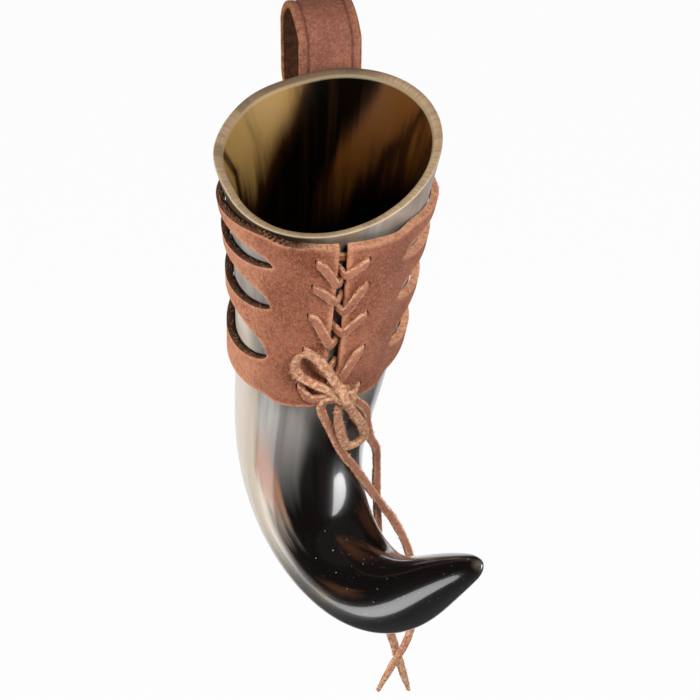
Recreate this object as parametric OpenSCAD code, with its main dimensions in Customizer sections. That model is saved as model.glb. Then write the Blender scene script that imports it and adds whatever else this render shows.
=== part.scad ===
// Drinking horn in a laced leather belt holster, in millimetres.
// +Z is up and the lacing faces -Y. The origin is the middle of the belt slot, behind the mouth.
// A place on the horn is given as s, the distance along its centre line from the back of the lip,
// and t, the angle round it from the lacing, positive towards +X.

/* [Horn] */
// Length along the centre line, from the back of the lip to the tip
horn_l = 302; // [285:1:320]
// Width across the mouth
mouth_w = 75.5; // [68:0.5:82]
// Power of the taper, lower is fuller
taper = 0.63; // [0.6:0.01:0.68]
// How far the mouth flares out of the taper, all round
lip_flare = 5; // [3:0.1:6]
// Length along the horn that the flare takes
flare_run = 60; // [50:1:80]
// Lean of the mouth end away from the hook, in degrees
mouth_lean = 1; // [0:0.5:4]
// Lean that is gained along the horn, in degrees
lean_gain = 10; // [6:0.5:12]
// Length along the horn in which that lean is gained
lean_l = 100; // [90:1:110]
// Turn of the hook, in degrees
hook_turn = 163; // [145:1:170]
// Distance along the horn to the start of the hook
hook_start = 106.5; // [100:0.5:115]
// Length along the horn that the hook takes
hook_run = 164; // [150:1:175]
// Direction of the hook, round from the lacing, in degrees
hook_way = 27.5; // [20:0.5:35]
// How far the lip falls from its highest to its lowest point
rim_drop = 21.5; // [18:0.5:22]
// Where the lip is lowest, round from the lacing, in degrees
rim_low = -41; // [-50:1:-30]
// Wall of the horn at the lip
rim_wall = 3.2; // [2.4:0.1:4.2]
// Extra wall at the bottom of the hollow
wall_gain = 2.5; // [0:0.1:4]
// Distance along the horn to the bottom of the hollow
hollow_l = 187; // [160:1:205]
// Rounding of the lip
lip_r = 0.9; // [0.4:0.1:1.1]

/* [Sleeve] */
// Thickness of the sleeve's leather
leather_t = 2.7; // [2.2:0.1:3.2]
// Fit between the horn and the sleeve
sleeve_fit = 0.4; // [0.3:0.05:0.6]
// Distance along the horn to the middle of the top edge
sleeve_top = 25.5; // [25:0.5:26.5]
// Distance along the horn to the middle of the bottom edge
sleeve_bottom = 91; // [90:0.5:98]
// How much the top edge rises at the front
top_rise = 5; // [4:0.5:6]
// Where the top edge is highest, round from the lacing, in degrees
rise_way = 10; // [0:1:20]
// How much the bottom edge dips on the left
bottom_dip = 7.5; // [5:0.5:9]
// Where the bottom edge and the slots are lowest, round from the lacing, in degrees
dip_way = -75; // [-90:1:-60]
// Width of the open seam at the top
seam_top = 3.2; // [3:0.1:4]
// Width of the open seam at the bottom
seam_bottom = 4.5; // [3:0.1:6]

/* [Crescent slots] */
// Distance along the horn to the tips of each slot
slot_at = [33.5, 53, 75.5];
// Rise of each slot's upper edge above its tips
slot_rise = [4.5, 8.5, 12];
// Fall of each slot's lower edge below its tips
slot_fall = [6, 6, 7.5];
// How much each slot dips on the left
slot_dip = [1.5, 2, 4];
// Distance round the sleeve from the seam to the slots' front tips
slot_in = 22; // [19:0.5:25]
// Angle round from the seam to the slots' back tips
slot_back = 138; // [120:1:142]

/* [Lace] */
// Width of the flat lace
lace_w = 3.2; // [2.6:0.1:3.4]
// Thickness of the lace
lace_t = 1.7; // [1.3:0.1:1.8]
// Gap between the lace and the leather that it lies on
lace_fit = 0.2; // [0.15:0.05:0.3]
// Room for the lace between the horn and the sleeve
lace_room = 2.6; // [2.4:0.1:3.2]
// Pairs of lace holes
lace_rows = 5; // [4:1:5]
// Distance along the horn to the first pair of holes
lace_first = 27; // [26.5:0.5:28]
// Distance from the first pair of holes to the second
lace_pitch = 11; // [10.5:0.25:11.5]
// How much each later distance grows
pitch_gain = 2.33; // [2:0.01:2.5]
// Distance from the seam's middle to the first holes
hole_in_top = 8.2; // [7.5:0.1:9]
// Distance from the seam's middle to the last holes
hole_in_bottom = 10.2; // [9.5:0.1:11.5]
// Diameter of the lace holes
hole_d = 4.4; // [4.2:0.1:5]
// Share of the way to the next row where a left strand dives into the seam
dive_left = 0.75; // [0.74:0.01:0.8]
// Share of the way to the next row where a right strand dives into the seam
dive_right = 0.4; // [0.36:0.01:0.41]

/* [Bow] */
// Distance along the horn to the knot
knot_at = 85.5; // [82:0.5:87]
// Angle from the seam to the knot
knot_way = 8; // [5:0.5:12]
// Height of the knot
knot_h = 12; // [10:0.5:14]
// Width of the knot
knot_w = 8; // [7:0.5:9]
// Thickness of the knot
knot_t = 6; // [5:0.5:7]

/* [Belt loop] */
// Width of the strap
strap_w = 22; // [18:0.5:26]
// Thickness of the strap
strap_t = 2.7; // [2.2:0.1:3.2]
// Height of the slot for the belt
slot_h = 48; // [44:1:56]
// Depth of the slot for the belt
slot_depth = 14.6; // [10:0.2:18]
// Height of the slot's middle above the mouth's middle
slot_above = 2; // [0:0.5:8]
// How far the rear leaf of the loop leans to the left
loop_skew = 4; // [0:0.5:8]
// Where the strap is fixed, round from the lacing, in degrees
strap_way = 171; // [168:0.5:180]
// Distance along the horn to the strap's ends
strap_end = 68; // [65:0.5:74]
// Gap between leathers that lie on each other
ply_gap = 0.15; // [0.1:0.05:0.3]

/* [Rivets] */
// Distance along the horn to each rivet
rivet_at = [44, 59];
// Diameter of the rivets' shanks
shank_d = 3; // [2.4:0.1:3.6]
// Clearance between a shank and its holes
rivet_fit = 0.1; // [0.05:0.05:0.2]
// Diameter of the rivets' heads, inside the sleeve
head_d = 8; // [6:0.5:9]
// Thickness of the rivets' heads
head_t = 1; // [0.8:0.1:1.2]
// Diameter of the rivets' caps, outside the strap
cap_d = 9; // [7:0.5:10]
// Height of the rivets' caps
cap_h = 2.4; // [2:0.1:3]
// Room between the horn and the sleeve for the rivets' heads
head_room = 2; // [1.8:0.1:2.6]

/* [Hidden] */
$fn = 48;

// Resolution of the curved forms
spine_step = 2;
horn_sides = 40;
outer_rings = 44;
inner_rings = 22;
lace_sides = 8;
strap_steps = 6;
leaf_steps = 15;
knot_steps = 12;
front_cols = 5;
slot_cols = 20;
back_cols = 8;
half_cols = front_cols + slot_cols + back_cols;

// Angles over which the sleeve stands off for the lace and for the rivets' heads
lace_room_half = 24;
lace_room_ramp = 22;
head_room_half = 9;
head_room_ramp = 24;

// The lip's slant fades out over this distance along the horn
rim_fade = 60;
// Roundness of the slots' tips
tip_round = 0.6;
// Seat of the rivets' flat faces on curved leather
rivet_seat = 0.3;
// Slack that a lace turns with, past its hole's middle
turn_in = 0.2;
turn_out = 1.6;
// Roundness of the lace's turns at a hole and into the seam, and its slip along the seam at each step
turn_ease = 0.6;
dive_ease = 0.7;
dive_slip = 0.3;
// How deep the grooves between the knot's wraps are, and how many wraps show
knot_groove = 0.08;
knot_wraps = 3;

// Routes of the lace's free ends and of the bow's loops, from the middle of the knot
upper_loop_route = [[-1, -2, 4], [-3.5, -4.5, 11], [-6, -5.5, 16], [-9, -5, 17.5], [-12, -4, 16],
    [-14.5, -3, 13.5], [-15.5, -2.5, 10], [-14.5, -2.5, 6], [-11, -3, 3.5], [-6, -3, 1.5], [-2, -2, 0]];
lower_loop_route = [[2, -1, -4], [4, 0.5, -9], [7, 4.5, -15], [10, 9.5, -23], [12, 14.5, -31],
    [11, 16.5, -35.5], [8, 15, -36.5], [5, 12, -33.5], [2, 8.5, -27.5], [-0.2, 4.5, -20], [-1.2, 1, -11.5],
    [-1.8, -0.5, -5.5]];
left_tail_route = [[-2.5, -0.5, -3.5], [-5, 0, -5], [-5.5, 1.5, -8.5], [-4.5, 4, -13], [-2.5, 9, -21.5],
    [0, 13.5, -31], [2.5, 17, -39], [6, 22.5, -48], [10.5, 30.5, -60], [15, 37, -71.5], [19, 40, -80],
    [24, 40.5, -89], [28, 40.5, -98.5], [30.5, 40.5, -108], [31.5, 40.5, -120], [32, 40.5, -132],
    [31, 40.5, -143], [28.5, 40.5, -151], [25, 40.5, -158], [21.5, 40.5, -165.5], [18.5, 40.5, -172]];
right_tail_route = [[3.5, 1, -3], [7.5, 5, -9.5], [9, 9, -15.5], [10, 14.5, -24], [12, 20.5, -34.5],
    [15, 28, -44.5], [16.5, 34.5, -52], [17.5, 40, -61], [18, 43.5, -71], [18.5, 45, -83], [19, 45.5, -95],
    [19.5, 46, -111], [21, 46, -127], [23.5, 46, -145.5], [25.5, 46, -153.5], [27.5, 46, -162],
    [29.5, 46, -170], [31.5, 46, -178]];

// General helpers
function smooth(x) = let(c = max(0, min(1, x))) c*c*c*(c*(6*c - 15) + 10);
function unit(v) = v/norm(v);
function degrees(arc, r) = arc/r*180/PI;
function flip(list) = [for (i = [len(list) - 1:-1:0]) list[i]];
function mean(list) = [for (p = list) 1]*list/len(list);

// Centre line of the horn: it leans back, then turns into the hook in one upright plane
hook_dir = -90 + hook_way;
hook_x = [cos(hook_dir), sin(hook_dir), 0];
hook_y = [-sin(hook_dir), cos(hook_dir), 0];
function tilt(s) = -mouth_lean - lean_gain*s/lean_l + hook_turn*smooth((s - hook_start)/hook_run);
function along(s) = sin(tilt(s))*hook_x - [0, 0, cos(tilt(s))];
function across(s) = cos(tilt(s))*hook_x + [0, 0, sin(tilt(s))];
function out_dir(s, t) = cos(t - hook_way)*across(s) + sin(t - hook_way)*hook_y;

spine_count = ceil(horn_l/spine_step) + 1;
spine_points = [for (i = 0, p = [0, 0, 0]; i <= spine_count;
    p = p + spine_step*along((i + 0.5)*spine_step), i = i + 1) p];
function spine_raw(s) = let(k = max(0, floor(s/spine_step)), f = s/spine_step - k)
    spine_points[k]*(1 - f) + spine_points[k + 1]*f;
mouth_s = rim_drop/2;
spine_mouth = spine_raw(mouth_s);

// Radius of the horn, and a point at a distance off its surface, from the mouth's middle
function girth(s) = pow(1 - min(1, s/horn_l), taper);
function flare(s) = lip_flare*pow(max(0, 1 - s/flare_run), 2);
function radius(s) = (mouth_w/2 - flare(mouth_s))*girth(s)/girth(mouth_s) + flare(s);
function from_mouth(s, t, off) = spine_raw(s) - spine_mouth + (radius(s) + off)*out_dir(s, t);
function rim_s(t) = rim_drop/2*(1 + cos(t - rim_low));
function slope(s) = radius(s + 0.5) - radius(s - 0.5);
function skin_dir(s, t) = unit(out_dir(s, t) - slope(s)*along(s));

// Sleeve's inner face off the horn: snug, with room for the lace and for the rivets' heads
function turn_from(t, way) = abs(((t - way + 540) % 360) - 180);
function lace_bell(t) = 1 - smooth((turn_from(t, 0) - lace_room_half)/lace_room_ramp);
function head_bell(t) = 1 - smooth((turn_from(t, strap_way) - head_room_half)/head_room_ramp);
function sleeve_in(t) = sleeve_fit + lace_room*lace_bell(t) + head_room*head_bell(t);
function sleeve_out(t) = sleeve_in(t) + leather_t;

// The strap's two leaves lie on the sleeve, one on the other
front_off = sleeve_out(strap_way) + ply_gap;
rear_off = front_off + strap_t + ply_gap;
stack_top = rear_off + strap_t;

// The mouth stands where the front leaf, at the height of the lip, lies on the slot's front face
strap_lip = from_mouth(mouth_s, strap_way, front_off + strap_t);
mouth_at = [-strap_lip.x, -slot_depth/2 - strap_lip.y, -slot_above];
function at(s, t, off) = mouth_at + from_mouth(s, t, off);
knot_off = sleeve_out(knot_way) + knot_t/2 + lace_fit;
knot_mid = at(knot_at, knot_way, knot_off);

// Closed solid through rings of equal length, with flat ends
module loft(rings) {
    n = len(rings[0]);
    last = len(rings) - 1;
    points = concat([for (ring = rings) each ring], [mean(rings[0]), mean(rings[last])]);
    start = n*(last + 1);
    sides = [for (i = [0:last - 1], j = [0:n - 1]) let(a = i*n + j, b = i*n + (j + 1) % n)
        each [[a, b, b + n], [a, b + n, a + n]]];
    ends = [for (j = [0:n - 1]) let(k = (j + 1) % n)
        each [[start, k, j], [start + 1, last*n + j, last*n + k]]];
    polyhedron(points, concat(sides, ends));
}

// Stands a shape, made along +Z, on a point with its axis along a direction
module stand(p, dir) {
    translate(p) rotate([0, acos(dir.z), atan2(dir.y, dir.x)]) children();
}

// Horn

function lip_slant(s, t) = s + rim_s(t)*max(0, 1 - s/rim_fade);
function outer_ring(s, off) = [for (j = [0:horn_sides - 1]) let(t = 360*j/horn_sides)
    at(lip_slant(s, t), t, off)];
function wall(s) = rim_wall + wall_gain*s/hollow_l;
function hollow_end(s) = sqrt(1 - pow(s/hollow_l, 4));
function inner_ring(s) = [for (j = [0:horn_sides - 1]) let(t = 360*j/horn_sides, q = lip_slant(s, t))
    at(q, t, (radius(q) - wall(s))*hollow_end(s) - radius(q))];

module horn() {
    inner = [for (i = [inner_rings - 0.4:-1:1]) inner_ring(hollow_l*sin(90*i/inner_rings))];
    lip = [inner_ring(lip_r), outer_ring(0, lip_r - rim_wall), outer_ring(0, -lip_r), outer_ring(lip_r, 0)];
    outer = [for (i = [1:outer_rings - 1]) outer_ring(horn_l*sin(90*i/outer_rings), 0)];
    tip = [outer_ring(horn_l*sin(90 - 30/outer_rings), 0)];
    color("dimgray") loft(concat(inner, lip, outer, tip));
}

// Leather sleeve: a sheet wrapped from the seam's right edge round the back to its left edge

function dip(t) = cos(t - dip_way);
function tip_turn(s) = degrees(slot_in, radius(s) + leather_t);
function slot_open(k, t) =
    let(a = tip_turn(slot_at[k]), mid = (a + slot_back)/2, half = (slot_back - a)/2,
        x = min(1, abs(turn_from(t, 0) - mid)/half))
    pow(1 - x*x, tip_round);
function slot_edge(k, t, reach) = slot_at[k] + slot_dip[k]*(dip(t) - dip(0)) + reach*slot_open(k, t);

// Edge lines from the top edge, past each slot's upper and lower edge, to the bottom edge
slots = len(slot_at);
last_line = 2*slots + 1;
function line(i, t) =
    i == 0 ? sleeve_top - top_rise*cos(t - rise_way) :
    i == last_line ? sleeve_bottom + bottom_dip*dip(t) :
    let(k = floor((i - 1)/2)) i % 2 == 1 ? slot_edge(k, t, -slot_rise[k]) : slot_edge(k, t, slot_fall[k]);

// Rows of the sheet: the line above, and the share of the way to the line below
band_steps = [2, 2, 3, 3];
rows = [for (b = [0:slots]) each [for (i = [0:band_steps[b]]) [2*b, i/band_steps[b]]]];
function row_s(row, t) = line(row[0], t)*(1 - row[1]) + line(row[0] + 1, t)*row[1];
function row_front(row) = row_s(row, 0);
function starts_band(r) = r > 0 && rows[r][1] == 0;

// Columns of the sheet: seam edge to the slots' front tips, their back tips, and the back
function seam_half(s) = (seam_top + (seam_bottom - seam_top)*(s - sleeve_top)/(sleeve_bottom - sleeve_top))/2;
function seam_turn(s) = degrees(seam_half(s), radius(s) + sleeve_out(0));
function half_turn(c, s) =
    c <= front_cols ? seam_turn(s) + (tip_turn(s) - seam_turn(s))*c/front_cols :
    c <= front_cols + slot_cols
        ? (tip_turn(s) + slot_back)/2 - (slot_back - tip_turn(s))/2*cos(180*(c - front_cols)/slot_cols) :
    slot_back + (180 - slot_back)*(c - front_cols - slot_cols)/back_cols;
function col_turn(c, s) = c <= half_cols ? half_turn(c, s) : 360 - half_turn(2*half_cols - c, s);
function in_slot(c) = let(h = min(c, 2*half_cols - c)) h > front_cols && h < front_cols + slot_cols;
function opens(c) = in_slot(c) || in_slot(c + 1);

module sleeve_sheet() {
    cols = 2*half_cols;
    bottom = len(rows) - 1;
    points = [for (face = [0, 1], row = rows, c = [0:cols])
        let(t = col_turn(c, row_front(row)), s = row_s(row, t))
        at(s, t, face == 0 ? sleeve_in(t) : sleeve_out(t))];
    // Where a slot is closed, its lower row is its upper row
    function at_row(r, c) = starts_band(r) && !in_slot(c) ? r - 1 : r;
    function id(face, r, c) = (face*len(rows) + at_row(r, c))*(cols + 1) + c;
    function cell(a, b, c, d) = [[a, b, c], [a, c, d]];
    sheet = [for (r = [0:bottom - 1], c = [0:cols - 1]) if (!starts_band(r + 1)) each concat(
        cell(id(1, r, c), id(1, r, c + 1), id(1, r + 1, c + 1), id(1, r + 1, c)),
        cell(id(0, r, c), id(0, r + 1, c), id(0, r + 1, c + 1), id(0, r, c + 1)))];
    seam = [for (r = [0:bottom - 1]) if (!starts_band(r + 1)) each concat(
        cell(id(1, r, 0), id(1, r + 1, 0), id(0, r + 1, 0), id(0, r, 0)),
        cell(id(1, r, cols), id(0, r, cols), id(0, r + 1, cols), id(1, r + 1, cols)))];
    upward = [for (r = [0:bottom], c = [0:cols - 1]) if (r == 0 || starts_band(r) && opens(c))
        each cell(id(1, r, c), id(0, r, c), id(0, r, c + 1), id(1, r, c + 1))];
    downward = [for (r = [1:bottom], c = [0:cols - 1])
        if (r == bottom || starts_band(r + 1) && opens(c))
        each cell(id(1, r, c), id(1, r, c + 1), id(0, r, c + 1), id(0, r, c))];
    polyhedron(points, concat(sheet, seam, upward, downward));
}

// Lace holes: their row, and their side, which is 1 on the right and -1 on the left
function hole_s(k) = lace_first + k*lace_pitch + k*(k - 1)/2*pitch_gain;
function hole_in(k) = hole_in_top + (hole_in_bottom - hole_in_top)*k/(lace_rows - 1);
function lace_turn(x, s) = degrees(x, radius(s) + sleeve_in(0) + leather_t/2);

module leather_sleeve() {
    color("sienna") difference() {
        sleeve_sheet();
        for (k = [0:lace_rows - 1], side = [-1, 1]) {
            s = hole_s(k);
            t = side*lace_turn(hole_in(k), s);
            stand(at(s, t, 0), skin_dir(s, t)) cylinder(h = 4*leather_t, d = hole_d);
        }
        rivet_holes();
    }
}

// Rivets through the sleeve and both leaves of the strap

module at_rivets(off) {
    for (s = rivet_at) stand(at(s, strap_way, 0), skin_dir(s, strap_way)) translate([0, 0, off]) children();
}

module rivet_holes() {
    at_rivets(0) cylinder(h = stack_top + strap_t, d = shank_d + 2*rivet_fit);
}

head_top = sleeve_in(strap_way) - rivet_seat;
shank_top = stack_top + cap_h/2;

module rivet_posts() {
    color("goldenrod") at_rivets(head_top - head_t) {
        cylinder(h = head_t, d = head_d);
        cylinder(h = shank_top - head_top + head_t, d = shank_d);
    }
}

module rivet_caps() {
    dome = cap_h/2;
    color("goldenrod") at_rivets(stack_top + ply_gap) difference() {
        rotate_extrude() {
            square([cap_d/2, cap_h - dome]);
            translate([0, cap_h - dome]) intersection() {
                square([cap_d/2, dome]);
                translate([0, dome - cap_d*cap_d/8/dome - dome/2]) circle(r = cap_d*cap_d/8/dome + dome/2);
            }
        }
        translate([0, 0, -1]) cylinder(h = 1 + shank_top - stack_top, d = shank_d + 2*rivet_fit);
    }
}

// Belt loop: one strap, from its front leaf's end up, over the slot and down to its rear leaf's end

arc_mid = slot_h/2 - slot_depth/2;
strap_bottom = at(strap_end, strap_way, front_off).z;
front_free = [-4, 14];
rear_free = [-30, -2];
function height_s(z) = mouth_s + (mouth_at.z - z)/cos(mouth_lean + lean_gain/2);
function laid(z, u, off) = let(s = height_s(z)) at(s, strap_way - degrees(u, radius(s) + off), off);
function grip(z, free) = 1 - smooth((z - free[0])/(free[1] - free[0]));
function leaf_point(z, u, y, off, lean, free) = let(w = grip(z, free))
    (1 - w)*[u - lean, y, z] + w*laid(z, u, off);
function across_strap() = [for (j = [0:strap_steps]) strap_w*(j/strap_steps - 0.5)];

function front_ring(z) = concat(
    [for (u = across_strap()) leaf_point(z, u, -slot_depth/2 - strap_t, front_off, 0, front_free)],
    [for (u = flip(across_strap())) leaf_point(z, u, -slot_depth/2, front_off + strap_t, 0, front_free)]);
function rear_point(z, u, depth) =
    leaf_point(z, u, slot_depth/2 + depth, rear_off + depth, loop_skew, rear_free);
function rear_ring(z) = concat(
    [for (u = across_strap()) rear_point(z, u, strap_t)],
    [for (u = flip(across_strap())) rear_point(z, u, 0)]);
function arc_ring(a) = let(lean = loop_skew*a/180, dir = [0, -cos(a), sin(a)], mid = [-lean, 0, arc_mid])
    concat([for (u = across_strap()) mid + [u, 0, 0] + (slot_depth/2 + strap_t)*dir],
        [for (u = flip(across_strap())) mid + [u, 0, 0] + slot_depth/2*dir]);

module belt_loop() {
    leaf_z = [for (i = [0:leaf_steps - 1]) strap_bottom + (arc_mid - strap_bottom)*i/leaf_steps];
    rings = concat([for (z = leaf_z) front_ring(z)], [for (a = [0:15:180]) arc_ring(a)],
        [for (z = flip(leaf_z)) rear_ring(z)]);
    color("saddlebrown") difference() {
        loft(flip(rings));
        rivet_holes();
    }
}

// Lace: a flat band swept along points, each with the direction of its width

band = [for (k = [0:lace_sides - 1]) let(a = 360*(k + 0.5)/lace_sides)
    [lace_w*cos(a), lace_t*sin(a)]/2/cos(180/lace_sides)];
function heading(points, i) = unit(points[min(i + 1, len(points) - 1)] - points[max(i - 1, 0)]);
function band_ring(p, dir, side) = let(w = unit(side - (side*dir)*dir), n = cross(w, dir))
    [for (q = band) p + q.x*w + q.y*n];
function band_rings(points, sides) = [for (i = [0:len(points) - 1])
    band_ring(points[i], heading(points, i), sides[i])];

// One strand of the lacing: out of a hole, down over its flap, into the seam, under the other flap
turn_r = lace_t/2 + lace_fit;
function lace_point(s, x, lift) = let(off = sleeve_in(0) + lift) [s - slope(s)*off, lace_turn(x, s), off];
function hole_turn(s, x) = let(lift = turn_ease*turn_r) [for (p = [
    [-turn_out, -turn_r], [-3*turn_in, -lift], [-turn_in, turn_in],
    [-turn_in, leather_t - turn_in], [-3*turn_in, leather_t + lift], [-turn_out, leather_t + turn_r]])
    lace_point(s, x + sign(x)*p[0], p[1])];
function dive(s, side) = let(g = side*seam_half(s), r = side*turn_r, lift = dive_ease*turn_r)
    [lace_point(s - 2*dive_slip, g, leather_t + turn_r),
     lace_point(s - dive_slip, g - dive_ease*r, leather_t + lift),
     lace_point(s, g - r, leather_t), lace_point(s, r - g, 0),
     lace_point(s + dive_slip, dive_ease*r - g, -lift), lace_point(s + 2*dive_slip, -g, -turn_r)];
function strand(first_side, share) = [for (k = [0:lace_rows - 1])
    let(side = k % 2 == 0 ? first_side : -first_side, step = hole_s(k + 1) - hole_s(k))
    each concat(hole_turn(hole_s(k), side*hole_in(k)),
        k < lace_rows - 1 ? dive(hole_s(k) + share*step, side) : [])];

left_strand = strand(-1, dive_left);
right_strand = strand(1, dive_right);
lacing_route = concat(flip(left_strand), [lace_point(hole_s(0), 0, -turn_r)], right_strand);
lacing_points = concat([knot_mid + [-knot_w/2, 0, 0]], [for (p = lacing_route) at(p[0], p[1], p[2])],
    [knot_mid + [knot_w/2, 0, 0]]);
lacing_sides = [for (p = lacing_points) along(knot_at)];
lacing_rings = band_rings(lacing_points, lacing_sides);

// Least gap between stretches of the lacing that are further apart along it than this many rings
near_rings = 5;
function ring_gap(a, b) = min([for (p = a, q = b) norm(p - q)]);
lacing_gap = min([for (i = [0:len(lacing_rings) - 1], j = [i + near_rings:1:len(lacing_rings) - 1])
    if (norm(lacing_points[i] - lacing_points[j]) < 3*lace_w) ring_gap(lacing_rings[i], lacing_rings[j])]);

module front_lacing() {
    echo(lacing_gap = lacing_gap);
    color("peru") loft(lacing_rings);
}

// Bow: the knot, its two loops and the lace's free ends

knot_side = cross(along(knot_at), out_dir(knot_at, knot_way));
function knot_bulge(x) = sqrt(1 - x*x)*(1 - knot_groove*(1 - cos(180*knot_wraps*x)));

module bow_knot() {
    rings = [for (i = [0.5:1:knot_steps]) let(x = 2*i/knot_steps - 1)
        [for (j = [0:knot_steps - 1]) let(a = 360*j/knot_steps) knot_mid + along(knot_at)*x*knot_h/2
            + knot_bulge(x)*(cos(a)*knot_w/2*knot_side + sin(a)*knot_t/2*out_dir(knot_at, knot_way))]];
    color("peru") loft(rings);
}

module lace_length(route) {
    points = [for (p = route) knot_mid + p];
    sides = [for (i = [0:len(points) - 1]) cross(heading(points, i), out_dir(knot_at, hook_way))];
    color("peru") loft(band_rings(points, sides));
}

module bow_loop_upper() { lace_length(upper_loop_route); }
module bow_loop_lower() { lace_length(lower_loop_route); }
module lace_tail_left() { lace_length(left_tail_route); }
module lace_tail_right() { lace_length(right_tail_route); }

horn();
leather_sleeve();
belt_loop();
rivet_posts();
rivet_caps();
front_lacing();
bow_knot();
bow_loop_upper();
bow_loop_lower();
lace_tail_left();
lace_tail_right();
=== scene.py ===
import math
import bpy
import numpy as np
from mathutils import Matrix, Quaternion, Vector, kdtree


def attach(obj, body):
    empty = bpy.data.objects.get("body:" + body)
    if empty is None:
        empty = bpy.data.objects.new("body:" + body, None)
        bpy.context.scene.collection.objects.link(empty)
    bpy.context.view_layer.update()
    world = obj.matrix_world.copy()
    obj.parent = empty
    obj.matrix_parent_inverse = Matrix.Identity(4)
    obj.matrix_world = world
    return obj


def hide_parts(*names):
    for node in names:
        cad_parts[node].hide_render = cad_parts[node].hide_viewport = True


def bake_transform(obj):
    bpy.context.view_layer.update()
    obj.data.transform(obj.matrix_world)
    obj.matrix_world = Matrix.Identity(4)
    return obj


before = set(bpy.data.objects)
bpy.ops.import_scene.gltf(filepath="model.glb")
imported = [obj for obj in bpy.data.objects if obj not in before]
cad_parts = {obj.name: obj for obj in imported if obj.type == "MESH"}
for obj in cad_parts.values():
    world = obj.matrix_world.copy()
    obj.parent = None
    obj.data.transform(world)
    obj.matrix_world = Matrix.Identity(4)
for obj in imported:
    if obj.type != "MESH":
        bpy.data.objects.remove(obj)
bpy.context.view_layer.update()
scene = bpy.context.scene
scene.view_settings.view_transform = "Standard"
mm = 0.001
print("frame loaded,", len(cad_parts), "nodes")

# the horn in millimetres and degrees: s runs down its middle from the lip, t goes round from the lacing
hornShape = {
    "length": 302, "mouthWidth": 75.5, "taper": 0.63, "lipFlare": 5, "flareRun": 60,
    "mouthLean": 1, "leanGain": 10, "leanLength": 100,
    "hookTurn": 163, "hookStart": 106.5, "hookRun": 164, "hookWay": 27.5,
    "rimDrop": 21.5, "rimLow": -41, "rimFade": 60,
    "mouthAt": (-7.16018, -52.416, -2.0),
}


def smooth(x):
    c = np.clip(x, 0, 1)
    return c**3*(c*(6*c - 15) + 10)


def unit(v):
    return v/np.linalg.norm(v, axis=-1, keepdims=True)


hookAngle = math.radians(hornShape["hookWay"] - 90)
hookX = np.array([math.cos(hookAngle), math.sin(hookAngle), 0])
hookY = np.array([-math.sin(hookAngle), math.cos(hookAngle), 0])
upward = np.array([0, 0, 1.0])


def tilt(s):
    lean = hornShape["mouthLean"] + hornShape["leanGain"]*s/hornShape["leanLength"]
    hook = hornShape["hookTurn"]*smooth((s - hornShape["hookStart"])/hornShape["hookRun"])
    return np.radians(hook - lean)[..., None]


def along(s):
    s = np.asarray(s, float)
    return np.sin(tilt(s))*hookX - np.cos(tilt(s))*upward


def outward(s, t):
    s = np.asarray(s, float)
    turn = np.radians(np.asarray(t, float) - hornShape["hookWay"])[..., None]
    across = np.cos(tilt(s))*hookX + np.sin(tilt(s))*upward
    return np.cos(turn)*across + np.sin(turn)*hookY


spineStep = 0.25
spineS = np.arange(0, hornShape["length"] + 2, spineStep)
spineLine = np.vstack([np.zeros(3), np.cumsum(along(spineS[:-1] + spineStep/2)*spineStep, axis=0)])


def spine(s):
    return np.stack([np.interp(s, spineS, spineLine[:, k]) for k in range(3)], axis=-1)


mouthS = hornShape["rimDrop"]/2


def girth(s):
    return (1 - np.clip(s/hornShape["length"], 0, 1))**hornShape["taper"]


def flare(s):
    return hornShape["lipFlare"]*np.clip(1 - s/hornShape["flareRun"], 0, None)**2


def radius(s):
    s = np.asarray(s, float)
    return (hornShape["mouthWidth"]/2 - flare(mouthS))*girth(s)/girth(mouthS) + flare(s)


def slope(s):
    return radius(s + 0.5) - radius(s - 0.5)


def skinDir(s, t):
    return unit(outward(s, t) - slope(np.asarray(s, float))[..., None]*along(s))


def onHorn(s, t, off):  # a point at a distance off the horn's skin, in metres
    s, t, off = np.broadcast_arrays(np.asarray(s, float), np.asarray(t, float), np.asarray(off, float))
    middle = np.array(hornShape["mouthAt"]) + spine(s) - spine(mouthS)
    return mm*(middle + (radius(s) + off)[..., None]*outward(s, t))


def turnFrom(t, way):
    return np.abs((t - way + 540) % 360 - 180)


def bell(t, way, half, ramp):  # 1 round a way, falling to 0 over the ramp
    return 1 - smooth((turnFrom(t, way) - half)/ramp)


# hand tools

def pick(piece):
    bpy.ops.object.select_all(action="DESELECT")
    piece.select_set(True)
    bpy.context.view_layer.objects.active = piece


def applyModifier(piece, kind, **settings):
    pick(piece)
    modifier = piece.modifiers.new(kind.lower(), kind)
    for key, value in settings.items():
        setattr(modifier, key, value)
    bpy.ops.object.modifier_apply(modifier=modifier.name)


def storeValues(piece, name, values):
    kind, field = ("FLOAT_VECTOR", "vector") if values.ndim == 2 else ("FLOAT", "value")
    layer = piece.data.attributes.new(name, kind, "POINT")
    layer.data.foreach_set(field, np.asarray(values, float).ravel())


def wrapGrid(name, cols, rows, place, stores):  # a flat grid, wrapped round a form given by column and row
    bpy.ops.mesh.primitive_grid_add(x_subdivisions=cols, y_subdivisions=rows, size=2)
    piece = bpy.context.object
    piece.name = name
    piece.data.name = name
    flat = np.empty(len(piece.data.vertices)*3)
    piece.data.vertices.foreach_get("co", flat)
    i = np.rint((flat[0::3] + 1)/2*cols).astype(int)
    j = np.rint((flat[1::3] + 1)/2*rows).astype(int)
    piece.data.vertices.foreach_set("co", place(i, j).ravel())
    piece.data.update()
    for key, value in stores.items():
        storeValues(piece, key, value(i, j))
    return piece


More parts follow.
